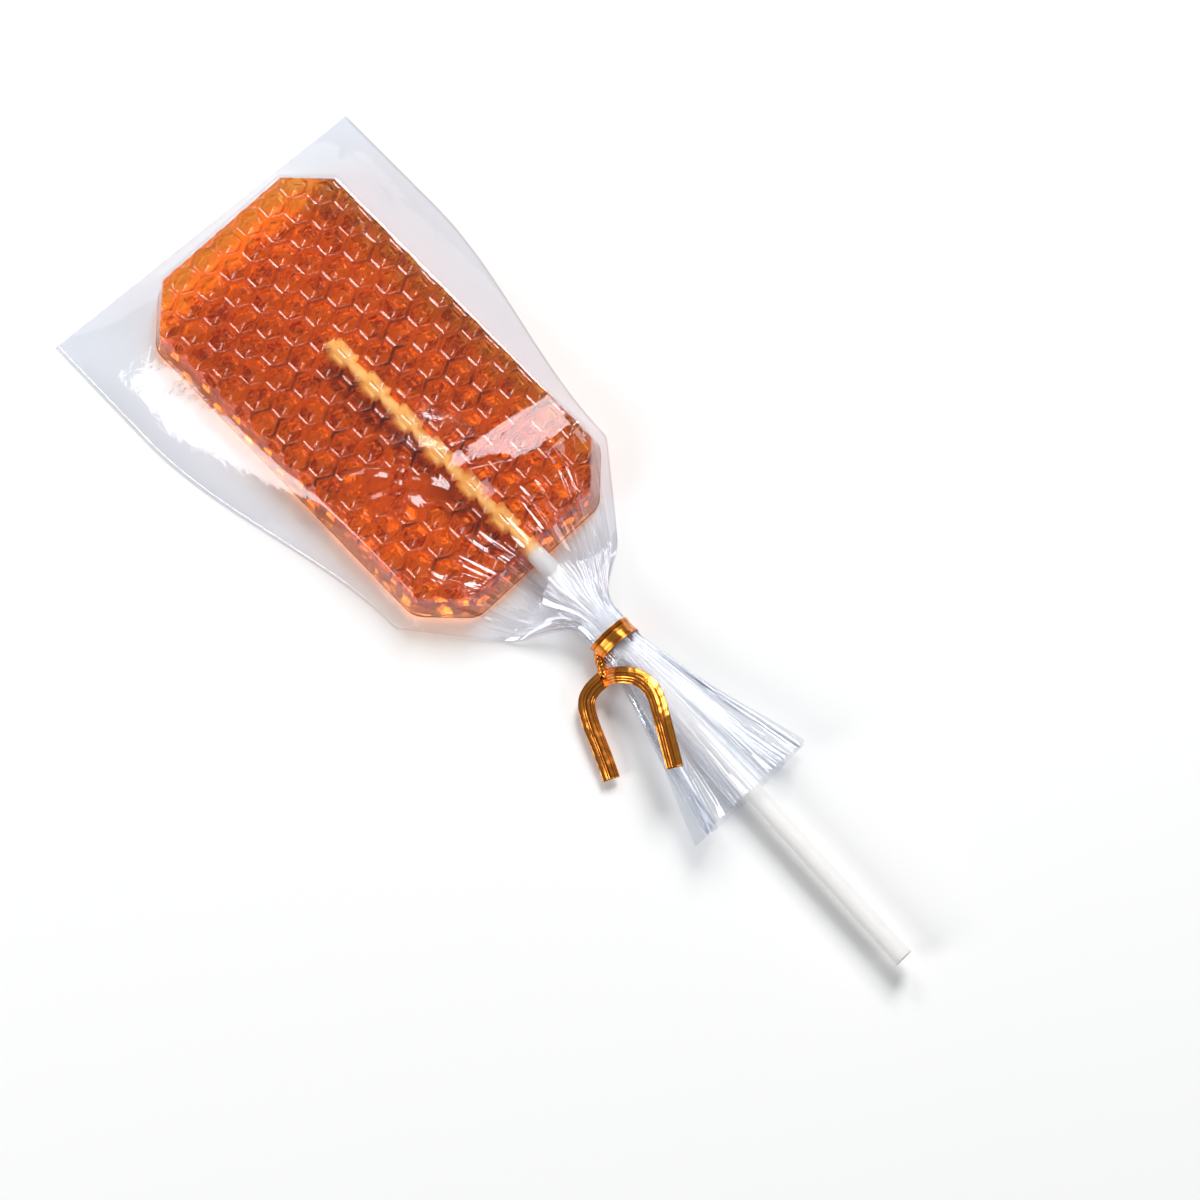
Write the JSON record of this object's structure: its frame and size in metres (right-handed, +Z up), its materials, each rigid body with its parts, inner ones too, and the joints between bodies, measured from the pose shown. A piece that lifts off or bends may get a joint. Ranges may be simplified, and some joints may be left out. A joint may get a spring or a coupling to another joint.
{
  "type": "lollipop",
  "caption": "Flat oblong honey lollipop with a comb-moulded face on a paper stick, in a clear bag gathered round the stick with a gold twist tie.",
  "frame": {"origin": "under the middle of the sweet, on the surface that the bag lies on", "axes": "+Y along the sweet and away from the stick, +Z up out of the moulded face, +X to the right of that face"},
  "size_m": [0.0699, 0.1885, 0.0118],
  "materials": {
    "honey": "clear amber boiled sugar",
    "paper": "rolled white paper",
    "film": "thin clear glossy film",
    "gold": "shiny gold foil over a wire"
  },
  "bodies": {
    "root": {"candy": "honey", "stick": "paper", "bag": "film", "twist_tie": "gold"}
  },
  "joints": []
}
